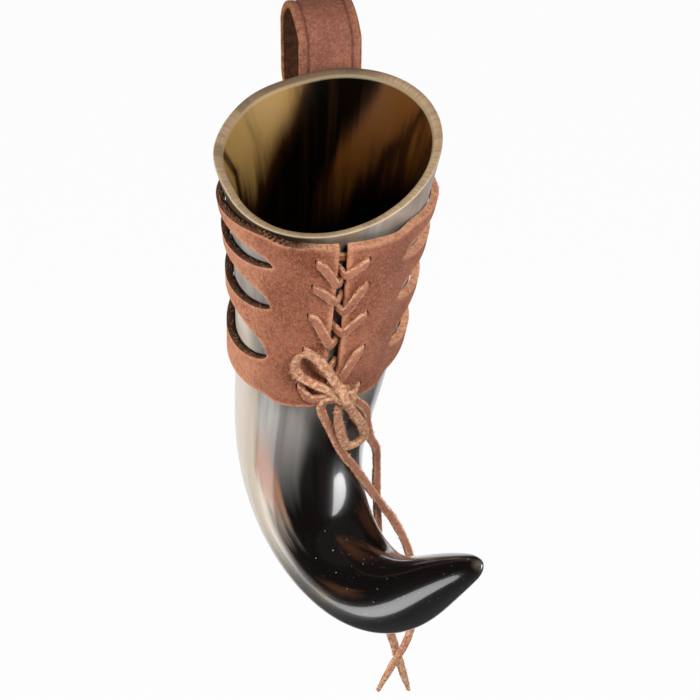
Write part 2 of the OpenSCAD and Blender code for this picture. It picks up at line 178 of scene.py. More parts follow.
def mergeSeams(piece, gap=2e-6):
    pick(piece)
    bpy.ops.object.mode_set(mode="EDIT")
    bpy.ops.mesh.select_all(action="SELECT")
    bpy.ops.mesh.remove_doubles(threshold=gap)
    bpy.ops.mesh.dissolve_degenerate(threshold=gap)
    bpy.ops.mesh.normals_make_consistent(inside=False)
    bpy.ops.object.mode_set(mode="OBJECT")


def deleteFaces(piece, isChosen):
    pick(piece)
    bpy.ops.object.mode_set(mode="EDIT")
    bpy.ops.mesh.select_mode(type="FACE")
    bpy.ops.mesh.select_all(action="DESELECT")
    bpy.ops.object.mode_set(mode="OBJECT")
    for face in piece.data.polygons:
        face.select = isChosen(face)
    bpy.ops.object.mode_set(mode="EDIT")
    bpy.ops.mesh.delete(type="FACE")
    bpy.ops.object.mode_set(mode="OBJECT")


def shadeSmooth(piece, angle):
    pick(piece)
    bpy.ops.object.shade_smooth_by_angle(angle=math.radians(angle))


def joinTo(piece, other):
    pick(piece)
    other.select_set(True)
    bpy.ops.object.join()


def standFor(piece, node, body=None):
    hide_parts(node)
    if body:
        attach(piece, body)


def threadLine(points, step):  # an even run of points on a soft curve through the given ones
    p = np.asarray(points, float)
    p = np.vstack([2*p[0] - p[1], p, 2*p[-1] - p[-2]])
    line = []
    for four in zip(p[:-3], p[1:-2], p[2:-1], p[3:]):
        at = np.cumsum([0] + [np.linalg.norm(b - a)**0.5 for a, b in zip(four, four[1:])])
        k = np.linspace(at[1], at[2], 24, endpoint=False)[:, None]
        level = four
        for spans in (((0, 1), (1, 2), (2, 3)), ((0, 2), (1, 3)), ((1, 2),)):
            level = [(at[b] - k)/(at[b] - at[a])*low + (k - at[a])/(at[b] - at[a])*high
                     for (a, b), low, high in zip(spans, level, level[1:])]
        line.append(level[0])
    line = np.vstack(line + [p[-2:-1]])
    run = np.concatenate([[0], np.cumsum(np.linalg.norm(np.diff(line, axis=0), axis=1))])
    even = np.linspace(0, run[-1], max(2, int(round(run[-1]/step)) + 1))
    return np.stack([np.interp(even, run, line[:, k]) for k in range(3)], axis=-1)


# the photograph's viewpoint
photoView = {
    "azimuth": -8, "elevation": 32, "distance": 1.15, "lens": 174.34, "sensor": 36, "nearClip": 0.05,
    "mouthPixel": (328.5, 152.5), "imageSize": 700, "pixelFocus": 3390,
}


def makeCamera():
    turn, rise = math.radians(photoView["azimuth"]), math.radians(photoView["elevation"])
    back = Vector((math.sin(turn)*math.cos(rise), -math.cos(turn)*math.cos(rise), math.sin(rise)))
    right = Vector((math.cos(turn), math.sin(turn), 0))
    above = back.cross(right)
    mouth = Vector(hornShape["mouthAt"])*mm
    perPixel = photoView["distance"]/photoView["pixelFocus"]
    middle = photoView["imageSize"]/2
    aim = mouth + right*(middle - photoView["mouthPixel"][0])*perPixel
    aim -= above*(middle - photoView["mouthPixel"][1])*perPixel
    bpy.ops.object.camera_add(location=mouth + back*photoView["distance"])
    camera = bpy.context.object
    camera.name = "photoCamera"
    camera.rotation_euler = (aim - camera.location).to_track_quat("-Z", "Y").to_euler()
    camera.data.lens = photoView["lens"]
    camera.data.sensor_width = photoView["sensor"]
    camera.data.clip_start = photoView["nearClip"]
    scene.camera = camera
    print("camera set")


makeCamera()

# hairs of loose fibre: where a hair starts and is thinner, as shares of its length, and how far it curls
hair = {"root": -0.15, "waist": 0.45, "waistThick": 0.7, "curl": 0.35}


def looseFibres(name, roots, ways, lengths, thick, rng):
    thirds = [2*math.pi*k/3 for k in range(3)]
    spots, faces = [], []
    for root, way, length in zip(roots, unit(ways), lengths):
        curl = np.cross(way, rng.normal(size=3))
        aside = unit(np.cross(way, curl))
        other = np.cross(way, aside)
        bend = curl*length*hair["curl"]
        first = len(spots)
        for share, fat in ((hair["root"], 1.0), (hair["waist"], hair["waistThick"])):
            middle = root + way*length*share + bend*share**2
            spots += [mm*(middle + thick*fat*(math.cos(a)*aside + math.sin(a)*other)) for a in thirds]
        spots.append(mm*(root + way*length + bend))
        faces.append((first + 2, first + 1, first))
        for a, b in ((0, 1), (1, 2), (2, 0)):
            faces.append((first + a, first + b, first + 3 + b, first + 3 + a))
            faces.append((first + 3 + a, first + 3 + b, first + 6))
    mesh = bpy.data.meshes.new(name)
    mesh.from_pydata([tuple(spot) for spot in spots], [], faces)
    fibres = bpy.data.objects.new(name, mesh)
    scene.collection.objects.link(fibres)
    return fibres


# the lace: a flat, rough-cut strip of split leather
lace = {
    "width": 3.2, "thick": 1.7, "square": 0.55, "sides": 16, "step": 0.45,
    "turnEvery": 22, "broadEvery": (14, 3), "thickEvery": (18, 4), "quickShare": 0.8,
    "cutSide": 0.8, "cutIn": 2, "cutOut": 1.5, "endBroad": 0.35, "smoothTo": 50,
    "knotAt": (-5.67082, -82.3297, -82.1653), "knotS": 85.5, "knotWay": 8,
}
laceFray = {
    "perMm": 2, "rootAt": 0.93, "lean": 0.55, "scatter": 0.6, "short": 0.35, "long": 1.8, "thick": 0.13,
}


def wander(count, every, size, rng):  # slow random drift along a strip
    knots = max(2, int(count/every) + 2)
    return np.interp(np.arange(count), np.linspace(0, count - 1, knots), rng.uniform(-size, size, knots))


def laceStrip(name, line, sides, seed, fuzz, twist=6, ragged=0.06, endTaper=0.0, pale=0.0):
    rng = np.random.RandomState(seed)
    count = len(line)
    cols, rows = lace["sides"], count + 1
    heading = unit(np.gradient(line, axis=0))
    width = unit(sides - np.sum(sides*heading, axis=1, keepdims=True)*heading)
    face = np.cross(width, heading)
    turn = np.radians(wander(count, lace["turnEvery"], twist, rng))[:, None]
    width, face = np.cos(turn)*width + np.sin(turn)*face, np.cos(turn)*face - np.sin(turn)*width
    angle = 2*math.pi*(np.arange(cols + 1) + 0.5)/cols
    shapeX = np.sign(np.cos(angle))*np.abs(np.cos(angle))**lace["square"]
    shapeY = np.sign(np.sin(angle))*np.abs(np.sin(angle))**lace["square"]

    def uneven(slow, quick):
        return 1 + wander(count, slow, ragged, rng) + wander(count, quick, ragged*lace["quickShare"], rng)

    broad = uneven(*lace["broadEvery"])
    thick = uneven(*lace["thickEvery"])
    if endTaper:
        share = np.minimum(1, np.arange(count)[::-1]*lace["step"]/endTaper)
        broad = broad*(lace["endBroad"] + (1 - lace["endBroad"])*share)
    rough = rng.uniform(-lace["cutIn"]*ragged, lace["cutOut"]*ragged, (count, cols))
    cut = 1 + rough*(np.abs(shapeX[:cols]) > lace["cutSide"])
    cut = np.hstack([cut, cut[:, :1]])

    def isSide(j):  # not one of the points that close the ends
        return (j > 0) & (j < rows)

    def place(i, j):
        ring = np.clip(j - 1, 0, count - 1)
        x = shapeX[i]*broad[ring]*cut[ring, i]*lace["width"]/2
        y = shapeY[i]*thick[ring]*lace["thick"]/2
        offset = x[:, None]*width[ring] + y[:, None]*face[ring]
        return mm*(line[ring] + np.where(isSide(j)[:, None], offset, 0))

    def stripAcross(i, j):
        return pale + np.abs(shapeX[i])*isSide(j)

    piece = wrapGrid(name, cols, rows, place, {"stripAcross": stripAcross})
    mergeSeams(piece)
    shadeSmooth(piece, lace["smoothTo"])
    spots = rng.randint(2, count - 2, int(count*lace["step"]*fuzz*laceFray["perMm"]))
    edge = rng.choice([-1.0, 1.0], len(spots))[:, None]
    roots = line[spots] + edge*width[spots]*(lace["width"]/2*laceFray["rootAt"]*broad[spots])[:, None]
    ways = edge*width[spots] + rng.normal(0, laceFray["lean"], (len(spots), 1))*face[spots]
    ways = ways + rng.normal(0, laceFray["scatter"], (len(spots), 3))
    lengths = laceFray["short"] + laceFray["long"]*rng.beta(1.0, 3.0, len(spots))
    fibres = looseFibres(name + "Fibres", roots, ways, lengths, laceFray["thick"], rng)
    storeValues(fibres, "stripAcross", np.ones(len(fibres.data.vertices)))
    joinTo(piece, fibres)
    return piece


knotAt = np.array(lace["knotAt"])
knotDown = along(lace["knotS"])
knotOut = outward(lace["knotS"], lace["knotWay"])
hookOut = outward(lace["knotS"], hornShape["hookWay"])

# the knot: two turns round the crossing, and one strand drawn over them
knot = {
    "turns": 2.1, "steps": 60, "halfWidth": 3.4, "halfDepth": 2.2, "rise": 3.1, "tuck": 0.12, "tuckTurn": 2.4,
    "over": [(2.4, 0.5, -5.2), (1.8, 2.4, -3.6), (0.8, 3.2, -1.2), (-0.4, 3.2, 1.4), (-1.4, 2.4, 3.8),
             (-1.9, 0.4, 5.2)],
    "looks": {"fuzz": 4.0, "pale": 0.4},
}

# the bow: routes from the middle of its knot
bowRoutes = {
    "upperLoop": [
        (-1, -1.5, 1), (-2.5, -2, 4), (-4.5, -3, 9), (-7.6, -4.4, 15.5), (-10, -5.2, 19.6),
        (-12.4, -5.5, 21.8), (-15, -4.9, 21.9), (-16.8, -3.9, 20), (-17.6, -2.8, 17), (-17.3, -1.8, 13.6),
        (-15.2, -1.1, 9.8), (-11.5, -1.5, 7.2), (-7.5, -2, 5), (-3.5, -1.5, 2)],
    "lowerLoop": [
        (0.5, 0.5, -3), (2.2, 3.2, -8), (5.5, 7.2, -15.5), (8.2, 12.4, -23.5), (9.5, 16.2, -29.5),
        (9.3, 17.2, -31.4), (8.2, 17.6, -33.2), (6.4, 17.4, -34.3), (4.4, 16.6, -34.6), (2.8, 15.5, -33.8),
        (1.9, 14.3, -32.2), (-0.8, 7.6, -19.5), (-2, 3.8, -11), (-1.8, 1, -5)],
    "leftTail": [
        (-2.5, -0.5, -1.5), (-4.8, 0, -1.6), (-6.8, 0.6, -2.4), (-8, 1.4, -4.4), (-8, 2.4, -7.4),
        (-6.5, 4.6, -13), (-3.8, 8.8, -21.5), (-0.8, 13.2, -31), (2, 17, -39), (6, 22.5, -48),
        (10.5, 30.5, -60), (15, 37, -71.5), (19, 40, -80), (24, 40.5, -89), (28, 40.5, -98.5),
        (30.5, 40.5, -108), (31.5, 40.5, -120), (32, 40.5, -132), (31, 40.5, -143), (28.5, 40.5, -151),
        (25, 40.5, -158), (21.5, 40.5, -165.5), (18.5, 40.5, -172)],
    "rightTail": [
        (3.5, 1, -3), (7.5, 5, -9.5), (9, 9, -15.5), (10, 14.5, -24), (12, 20.5, -34.5), (15, 28, -44.5),
        (16.5, 34.5, -52), (17.5, 40, -61), (18, 43.5, -71), (18.5, 45, -83), (19, 45.5, -95),
        (19.5, 46, -111), (21, 46, -127), (23.5, 46, -145.5), (25.5, 46, -153.5), (27.5, 46, -162),
        (29.5, 46, -170), (31.5, 46, -178)],
}
bowPieces = {
    "upperLoop": {"node": "bow_loop_upper", "farEnd": "object", "lay": "loose", "seed": 11},
    "lowerLoop": {"node": "bow_loop_lower", "farEnd": "object", "lay": "hanging", "seed": 12},
    "leftTail": {"node": "lace_tail_left", "farEnd": "bare", "lay": "hanging", "seed": 13},
    "rightTail": {"node": "lace_tail_right", "farEnd": "bare", "lay": "hanging", "seed": 14},
}
loopLooks = {"twist": 10, "fuzz": 4.0, "pale": 0.4}
tailLooks = {"twist": 14, "fuzz": 0.5, "pale": 0.12, "endTaper": 9}


def makeKnot():
    side = np.cross(knotDown, knotOut)
    angle = np.linspace(0, 2*math.pi*knot["turns"], knot["steps"])
    fromEnd = np.minimum(angle, angle[-1] - angle)
    tucked = knot["tuck"] + (1 - knot["tuck"])*smooth(fromEnd/knot["tuckTurn"])
    coil = knotAt + np.outer(tucked*knot["halfWidth"]*np.cos(angle), side)
    coil = coil + np.outer(tucked*knot["halfDepth"]*np.sin(angle), knotOut)
    coil = coil + np.outer((angle/(2*math.pi) - knot["turns"]/2)*knot["rise"], knotDown)
    over = [knotAt + x*side + y*knotOut + z*knotDown for x, y, z in knot["over"]]
    made = laceStrip("bowKnot", threadLine(coil, lace["step"]), knotDown, 21, **knot["looks"])
    joinTo(made, laceStrip("bowKnotOver", threadLine(over, lace["step"]), side, 22, **knot["looks"]))
    standFor(made, "bow_knot", "holster")
    return made


def makeBow():
    pieces = [makeKnot()]
    for name, facts in bowPieces.items():
        line = threadLine(knotAt + np.array(bowRoutes[name]), lace["step"])
        sides = np.cross(unit(np.gradient(line, axis=0)), hookOut)
        isTail = facts["farEnd"] == "bare"
        piece = laceStrip(name, line, sides, facts["seed"], **(tailLooks if isTail else loopLooks))
        standFor(piece, facts["node"], None if isTail else "holster")
        if isTail:
            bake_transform(piece)
        pieces.append(piece)
    return pieces


bow = makeBow()
print("bow and tails made")

# horn: an open shell down to the hollow's end, solid beyond it
hornWall = {
    "rimWall": 3.2, "wallGain": 2.5, "hollow": 187, "endPower": 4,
    "lipRound": 0.9, "lipInside": 1.8, "lipGap": 0.3,
    "swell": 3, "swellSpan": {"way": -128, "half": 10, "ramp": 45}, "swellDeep": 15,
    "tipFrom": 286, "tipEnd": 297.5, "tipPower": 3,
    "sides": 144, "innerRings": 44, "lipRings": 4, "outerRings": 220, "tipRings": 18, "smoothTo": 60,
}


def hornRings():  # distance from the lip, below 0 inside, and lift off the skin, not given in the hollow
    curve, inside = hornWall["lipRound"], hornWall["lipInside"]
    deep = hornWall["hollow"]*np.sin(np.linspace(math.pi/2, 0, hornWall["innerRings"] + 1)[:-1])
    bend = np.linspace(0, math.pi/2, hornWall["lipRings"] + 1)
    rings = [(-s, math.nan) for s in deep if s > inside]
    rings += [(-inside*(1 - math.sin(a)), inside*(1 - math.cos(a)) - hornWall["rimWall"]) for a in bend]
    rings += [(curve*(1 - math.sin(a)), -curve*(1 - math.cos(a))) for a in bend[::-1]]
    outer = hornShape["length"]*np.sin(np.linspace(0, math.pi/2, hornWall["outerRings"] + 1))
    rings += [(s, 0.0) for s in outer if curve + hornWall["lipGap"] < s < hornWall["tipFrom"]]
    for x in np.sin(np.linspace(0, math.pi/2, hornWall["tipRings"])):  # the tip is worn round
        s = hornWall["tipFrom"] + (hornWall["tipEnd"] - hornWall["tipFrom"])*x
        rings.append((s, float(radius(s)*(math.sqrt(1 - x**hornWall["tipPower"]) - 1))))
    return np.array(rings)


def makeHorn():
    fromLip, lift = hornRings().T
    depth = np.abs(fromLip)
    cols = hornWall["sides"]

    def station(i, j):
        t = 360*i/cols
        slant = np.clip(1 - depth[j]/hornShape["rimFade"], 0, None)
        return depth[j] + mouthS*(1 + np.cos(np.radians(t - hornShape["rimLow"])))*slant, t

    def place(i, j):
        s, t = station(i, j)
        wall = hornWall["rimWall"] + hornWall["wallGain"]*depth[j]/hornWall["hollow"]
        close = np.sqrt(np.clip(1 - (depth[j]/hornWall["hollow"])**hornWall["endPower"], 0, None))
        hollow = (radius(s) - wall)*close - radius(s)
        swell = hornWall["swell"]*bell(t, **hornWall["swellSpan"])
        swell = swell*(1 - smooth(depth[j]/hornWall["swellDeep"]))
        return onHorn(s, t, np.where(np.isnan(lift[j]), hollow, lift[j]) + swell)

    def hornPlace(i, j):
        s, t = station(i, j)
        return np.stack([np.cos(np.radians(t)), np.sin(np.radians(t)), s/100], axis=-1)

    stores = {"hornPlace": hornPlace, "fromLip": lambda i, j: fromLip[j]}
    piece = wrapGrid("hornCup", cols, len(fromLip) - 1, place, stores)
    mergeSeams(piece)
    shadeSmooth(piece, hornWall["smoothTo"])
    standFor(piece, "horn", "horn")
    return piece


horn = makeHorn()
print("horn made,", len(horn.data.polygons), "faces")

# sleeve: one sheet of thick leather, wrapped from the seam's right edge round the back to its left edge
sleeve = {
    "thick": 2.7, "fit": 0.4, "laceRoom": 2.6, "laceSpan": {"way": 0, "half": 24, "ramp": 22},
    "headRoom": 2, "headSpan": {"way": 171, "half": 9, "ramp": 24},
    # the span of painted light that makes the left side paler
    "litSideSpan": {"way": -85, "half": 25, "ramp": 32},
    "top": 25.5, "topRise": 5, "riseWay": 10, "bottom": 91, "bottomDip": 7.5, "dipWay": -75,
    "seamTop": 3.2, "seamBottom": 4.5,
    "slotAt": (33.5, 53, 75.5), "slotRise": (4.5, 8.5, 12), "slotFall": (6, 6, 7.5), "slotDip": (1.5, 2, 4),
    "slotIn": 22, "slotBack": 138, "tipRound": 0.6,
    "frontCols": 24, "slotCols": 80, "backCols": 20, "bandRows": (8, 10, 12, 12),
    "edgeRound": 0.5, "roundFrom": 50, "smoothTo": 35,
    "holeRows": 5, "holeFirst": 27, "holePitch": 11, "pitchGain": 2.33, "holeInTop": 8.2,
    "holeInBottom": 10.2,
    "slitLong": 4.0, "slitWide": 2.5, "slitSides": 28, "cutDeep": 14, "cutAt": 3,
}


def sleeveIn(t):
    room = sleeve["laceRoom"]*bell(t, **sleeve["laceSpan"])
    return sleeve["fit"] + room + sleeve["headRoom"]*bell(t, **sleeve["headSpan"])


seamIn = float(sleeveIn(0.0))


def dip(t):
    return np.cos(np.radians(t - sleeve["dipWay"]))


def tipTurn(s):
    return np.degrees(sleeve["slotIn"]/(radius(s) + sleeve["thick"]))


def slotEdge(k, t, reach):
    start = tipTurn(sleeve["slotAt"][k])
    middle, half = (start + sleeve["slotBack"])/2, (sleeve["slotBack"] - start)/2
    x = np.minimum(1, np.abs(turnFrom(t, 0) - middle)/half)
    opened = (1 - x*x)**sleeve["tipRound"]
    return sleeve["slotAt"][k] + sleeve["slotDip"][k]*(dip(t) - dip(0)) + reach*opened


def edgeLine(i, t):  # the top edge, each slot's upper and lower edge, and the bottom edge
    if i == 0:
        return sleeve["top"] - sleeve["topRise"]*np.cos(np.radians(t - sleeve["riseWay"]))
    if i == 7:
        return sleeve["bottom"] + sleeve["bottomDip"]*dip(t)
    k = (i - 1)//2
    return slotEdge(k, t, -sleeve["slotRise"][k] if i % 2 else sleeve["slotFall"][k])


def seamHalf(s):
    share = (s - sleeve["top"])/(sleeve["bottom"] - sleeve["top"])
    return (sleeve["seamTop"] + (sleeve["seamBottom"] - sleeve["seamTop"])*share)/2


def seamTurn(s):
    return np.degrees(seamHalf(s)/(radius(s) + seamIn + sleeve["thick"]))


def holeS(k):
    return sleeve["holeFirst"] + k*sleeve["holePitch"] + k*(k - 1)/2*sleeve["pitchGain"]


def holeIn(k):
    return sleeve["holeInTop"] + (sleeve["holeInBottom"] - sleeve["holeInTop"])*k/(sleeve["holeRows"] - 1)


def laceTurn(x, s):
    return np.degrees(x/(radius(s) + seamIn + sleeve["thick"]/2))


def cutLaceHoles(piece):
    cutters = []
    for k in range(sleeve["holeRows"]):
        for flap in (-1, 1):
            s = holeS(k)
            t = flap*laceTurn(holeIn(k), s)
            out = Vector(skinDir(s, t))
            side = Vector(along(s)).cross(out).normalized()
            turn = Matrix((side, out.cross(side), out)).transposed()
            bpy.ops.mesh.primitive_cylinder_add(
                vertices=sleeve["slitSides"], radius=mm/2, depth=sleeve["cutDeep"]*mm,
                location=onHorn(s, t, sleeve["cutAt"]), rotation=turn.to_euler(),
                scale=(sleeve["slitWide"], sleeve["slitLong"], 1))
            cutters.append(bpy.context.object)
    pick(cutters[0])
    for cutter in cutters:
        cutter.select_set(True)
    bpy.ops.object.join()
    cutter = bpy.context.object
    applyModifier(piece, "BOOLEAN", operation="DIFFERENCE", object=cutter, solver="EXACT")
    bpy.data.objects.remove(cutter)


def makeSleeve():
    rows = [(2*k, step/steps) for k, steps in enumerate(sleeve["bandRows"]) for step in range(steps + 1)]
    slotFirst = sleeve["frontCols"]
    slotLast = slotFirst + sleeve["slotCols"]
    half = slotLast + sleeve["backCols"]
    cols = 2*half

    def halfTurn(c, s):
        seam, tip, rear = seamTurn(s), tipTurn(s), sleeve["slotBack"]
        front = seam + (tip - seam)*c/slotFirst
        middle = (tip + rear)/2 - (rear - tip)/2*np.cos(math.pi*(c - slotFirst)/sleeve["slotCols"])
        back = rear + (180 - rear)*(c - slotLast)/sleeve["backCols"]
        return np.where(c <= slotFirst, front, np.where(c <= slotLast, middle, back))

    def station(i, j):  # place on the horn, and the distance from the band's own edges
        s, t, inBand = np.zeros(len(i)), np.zeros(len(i)), np.zeros(len(i))
        for r, (line, share) in enumerate(rows):
            mine = j == r
            front = edgeLine(line, 0.0)*(1 - share) + edgeLine(line + 1, 0.0)*share
            turn = halfTurn(np.minimum(i[mine], cols - i[mine]), front)
            turn = np.where(i[mine] <= half, turn, 360 - turn)
            upper, lower = edgeLine(line, turn), edgeLine(line + 1, turn)
            t[mine] = turn
            s[mine] = upper*(1 - share) + lower*share
            fromFront = turnFrom(turn, 0)
            pastTip = np.maximum(tipTurn(front) - fromFront, fromFront - sleeve["slotBack"])
            aside = np.radians(np.maximum(0, pastTip))*radius(front)
            up = np.hypot(s[mine] - upper, aside if line > 0 else 0)
            down = np.hypot(lower - s[mine], aside if line < 6 else 0)
            inBand[mine] = np.minimum(up, down)
        return s, t, inBand

    def fromEdge(i, j):
        s, t, inBand = station(i, j)
        toSeam = np.radians(turnFrom(t, 0))*radius(s) - seamHalf(s)
        return np.minimum(inBand, toSeam)*mm

    # painted light: where the left side is paler
    def litSide(i, j):
        return bell(station(i, j)[1], **sleeve["litSideSpan"])

    def place(i, j):
        s, t, _ = station(i, j)
        return onHorn(s, t, sleeveIn(t))

    def inSlot(face):  # the strip of faces above each slot's lower edge, between its tips
        row, col = divmod(min(face.vertices), cols + 1)
        line, share = rows[row + 1]
        return line > 0 and share == 0 and slotFirst <= min(col, cols - 1 - col) < slotLast

    piece = wrapGrid("leatherSleeve", cols, len(rows) - 1, place, {"fromEdge": fromEdge, "litSide": litSide})
    deleteFaces(piece, inSlot)
    mergeSeams(piece, 2e-5)
    applyModifier(piece, "SOLIDIFY", thickness=sleeve["thick"]*mm, offset=1, use_even_offset=True)
    mergeSeams(piece, 1e-6)
    applyModifier(piece, "BEVEL", width=sleeve["edgeRound"]*mm, segments=2, limit_method="ANGLE",
                  angle_limit=math.radians(sleeve["roundFrom"]))
    cutLaceHoles(piece)
    return piece


leatherSleeve = makeSleeve()
print("sleeve made,", len(leatherSleeve.data.polygons), "faces")

# sides of the sleeve's leather, and painted shade on its cut edges, partly dark dye: the inner part, from the
# seam round the left
sideTest = {"s": (10, 110, 1.5), "t": (-180, 180, 3), "outer": 0.8, "flesh": -0.86}
paintedShadeSpan = {"depth": 1.75, "soft": 0.6, "seamWay": -10, "seamRamp": 16, "backWay": -176, "backRamp": 10}


def faceSides(piece):  # outer face 0, flesh side 1, cut edge 2
    ss, tt = np.meshgrid(np.arange(*sideTest["s"]), np.arange(*sideTest["t"]), indexing="ij")
    ss, tt = ss.ravel(), tt.ravel()
    tree = kdtree.KDTree(len(ss))
    for k, p in enumerate(onHorn(ss, tt, sleeveIn(tt) + sleeve["thick"]/2)):
        tree.insert(p, k)
    tree.balance()
    normals = skinDir(ss, tt)
    for face in piece.data.polygons:
        facing = float(np.dot(normals[tree.find(face.center)[1]], face.normal))
        face.material_index = 0 if facing > sideTest["outer"] else 1 if facing < sideTest["flesh"] else 2
    # painted shade: the cut edges darker round the left and in their inner part next to the horn
    left = smooth((paintedShadeSpan["seamWay"] - tt)/paintedShadeSpan["seamRamp"])
    left = left*smooth((tt - paintedShadeSpan["backWay"])/paintedShadeSpan["backRamp"])
    tintShare = np.zeros(len(piece.data.vertices))
    for vertex in piece.data.vertices:
        p, k, _ = tree.find(vertex.co)
        height = (vertex.co - p).dot(Vector(normals[k]))/mm
        tintShare[vertex.index] = smooth((paintedShadeSpan["depth"] - height)/paintedShadeSpan["soft"])*left[k]
    storeValues(piece, "tintShare", tintShare)


faceSides(leatherSleeve)
shadeSmooth(leatherSleeve, sleeve["smoothTo"])
standFor(leatherSleeve, "leather_sleeve", "holster")

# belt loop: one strap, up from behind the sleeve, over the slot and down again
strap = {
    "width": 22, "thick": 2.7, "slotHeight": 48, "slotDepth": 14.6, "skew": 4, "way": 171, "end": 68,
    "plyGap": 0.15, "frontFree": (-4, 14), "rearFree": (-30, -2), "corner": 0.8,
    "creaseIn": 3.3, "creaseDeep": 0.28, "creaseWide": 0.7,
    "leafSteps": 70, "arcSteps": 44, "faceSteps": 44, "cornerSteps": 4, "sideSteps": 5, "smoothTo": 40,
}


def strapProfile():  # across the strap and through its thickness, once round: outer face first
    half, r = strap["width"]/2, strap["corner"]/strap["thick"]
    edge = half - strap["corner"]
    flat = np.linspace(-edge, edge, strap["faceSteps"] + 1)
    bend = np.linspace(0, math.pi/2, strap["cornerSteps"] + 1)[1:-1]
    line = half - strap["creaseIn"]
    crease = sum(np.exp(-((flat - side*line)/strap["creaseWide"])**2) for side in (-1, 1))
    outer = [(u, 1 - strap["creaseDeep"]/strap["thick"]*c) for u, c in zip(flat, crease)]
    right = [(edge + strap["corner"]*math.sin(a), 1 - r*(1 - math.cos(a))) for a in bend]
    right += [(half, d) for d in np.linspace(1 - r, r, strap["sideSteps"])]
    right += [(edge + strap["corner"]*math.cos(a), r*(1 - math.sin(a))) for a in bend]
    inner = [(u, 0) for u in flat[::-1]]
    left = [(-u, d) for u, d in right[::-1]]
    return outer, right, inner, left


def makeStrap():
    frontOff = float(sleeveIn(strap["way"])) + sleeve["thick"] + strap["plyGap"]
    rearOff = frontOff + strap["thick"] + strap["plyGap"]
    bottom = float(onHorn(strap["end"], strap["way"], frontOff)[2])/mm
    reach = strap["slotDepth"]/2
    arcMid = strap["slotHeight"]/2 - reach
    lean = math.radians(hornShape["mouthLean"] + hornShape["leanGain"]/2)

    def laid(z, u, off):
        s = mouthS + (hornShape["mouthAt"][2] - z)/math.cos(lean)
        return onHorn(s, strap["way"] - np.degrees(u/(radius(s) + off)), off)/mm

    def leaf(z, u, d, isRear):
        free = strap["rearFree"] if isRear else strap["frontFree"]
        hold = (1 - smooth((z - free[0])/(free[1] - free[0])))[:, None]
        y = (reach + strap["thick"]*d)*(1 if isRear else -1)
        off = rearOff + strap["thick"]*d if isRear else frontOff + strap["thick"]*(1 - d)
        loose = np.stack([u - (strap["skew"] if isRear else 0), y, z], axis=-1)
        return (1 - hold)*loose + hold*laid(z, u, off)

    sides = strapProfile()
    profile = np.array([p for side in sides for p in side])
    profile = np.vstack([profile, profile[:1]])
    leafZ = np.linspace(bottom, arcMid, strap["leafSteps"] + 1)
    turns = np.linspace(0, math.pi, strap["arcSteps"] + 1)[1:-1]
    # front leaf 0, arc 1, rear leaf 2, and a point that closes each end
    part = np.array([0]*(len(leafZ) + 1) + [1]*len(turns) + [2]*(len(leafZ) + 1))
    value = np.concatenate([leafZ[:1], leafZ, turns, leafZ[::-1], leafZ[:1]])

    def place(i, j):
        isEnd = (j == 0) | (j == len(part) - 1)
        u = np.where(isEnd, 0, profile[i, 0])
        d = np.where(isEnd, 0.5, profile[i, 1])
        out = np.zeros((len(i), 3))
        for which, isRear in ((0, False), (2, True)):
            mine = part[j] == which
            out[mine] = leaf(value[j][mine], u[mine], d[mine], isRear)
        arc = part[j] == 1
        a = value[j][arc]
        r = reach + strap["thick"]*d[arc]
        out[arc] = np.stack([u[arc] - strap["skew"]*a/math.pi, -r*np.cos(a), arcMid + r*np.sin(a)], axis=-1)
        return mm*out

    def fromEdge(i, j):
        return (strap["width"]/2 - np.abs(profile[i, 0]))*mm

    cols = len(profile) - 1
    piece = wrapGrid("beltLoop", cols, len(part) - 1, place, {"fromEdge": fromEdge})
    outerEnd, innerStart, innerEnd = np.cumsum([len(side) for side in sides])[:3] - 1
    for face in piece.data.polygons:
        col = min(face.vertices) % (cols + 1)
        face.material_index = 0 if col < outerEnd else 1 if innerStart < col < innerEnd else 2
    mergeSeams(piece)
    shadeSmooth(piece, strap["smoothTo"])
    standFor(piece, "belt_loop", "holster")
    return piece


beltLoop = makeStrap()
print("belt loop made")

# lacing: out of a hole, down over its flap, into the seam, under the other flap
lacing = {
    "fit": 0.2, "turnIn": 0.2, "turnOut": 1.6, "turnEase": 0.6, "diveEase": 0.7, "diveSlip": 0.3,
    "diveLeft": 0.75, "diveRight": 0.4, "knotHalf": 2.5,
    "slack": [(-7.5, 0.8, -1), (-12, 1.8, -1.5), (-14, 2, 1)],
    "looks": {"fuzz": 1.2, "ragged": 0.05, "twist": 5},
}
turnR = lace["thick"]/2 + lacing["fit"]


def lacePoint(s, x, lift):
    off = seamIn + lift
    return onHorn(s - slope(s)*off, laceTurn(x, s), off)/mm


def strandPoints(firstSide, share):
    thick, turnIn, turnOut = sleeve["thick"], lacing["turnIn"], lacing["turnOut"]
    turnEase = lacing["turnEase"]*turnR
    ease, slip = lacing["diveEase"], lacing["diveSlip"]
    throughHole = [(-turnOut, -turnR), (-3*turnIn, -turnEase), (-turnIn, turnIn), (-turnIn, thick - turnIn),
                   (-3*turnIn, thick + turnEase), (-turnOut, thick + turnR)]
    points = []
    for k in range(sleeve["holeRows"]):
        side = firstSide if k % 2 == 0 else -firstSide
        s, x = holeS(k), side*holeIn(k)
        points += [lacePoint(s, x + side*inset, lift) for inset, lift in throughHole]
        if k < sleeve["holeRows"] - 1:
            d = s + share*(holeS(k + 1) - s)
            g, r = side*seamHalf(d), side*turnR
            dive = [(-2*slip, g, thick + turnR), (-slip, g - ease*r, thick + ease*turnR), (0, g - r, thick),
                    (0, r - g, 0.0), (slip, ease*r - g, -ease*turnR), (2*slip, -g, -turnR)]
            points += [lacePoint(d + step, across, lift) for step, across, lift in dive]
    return points


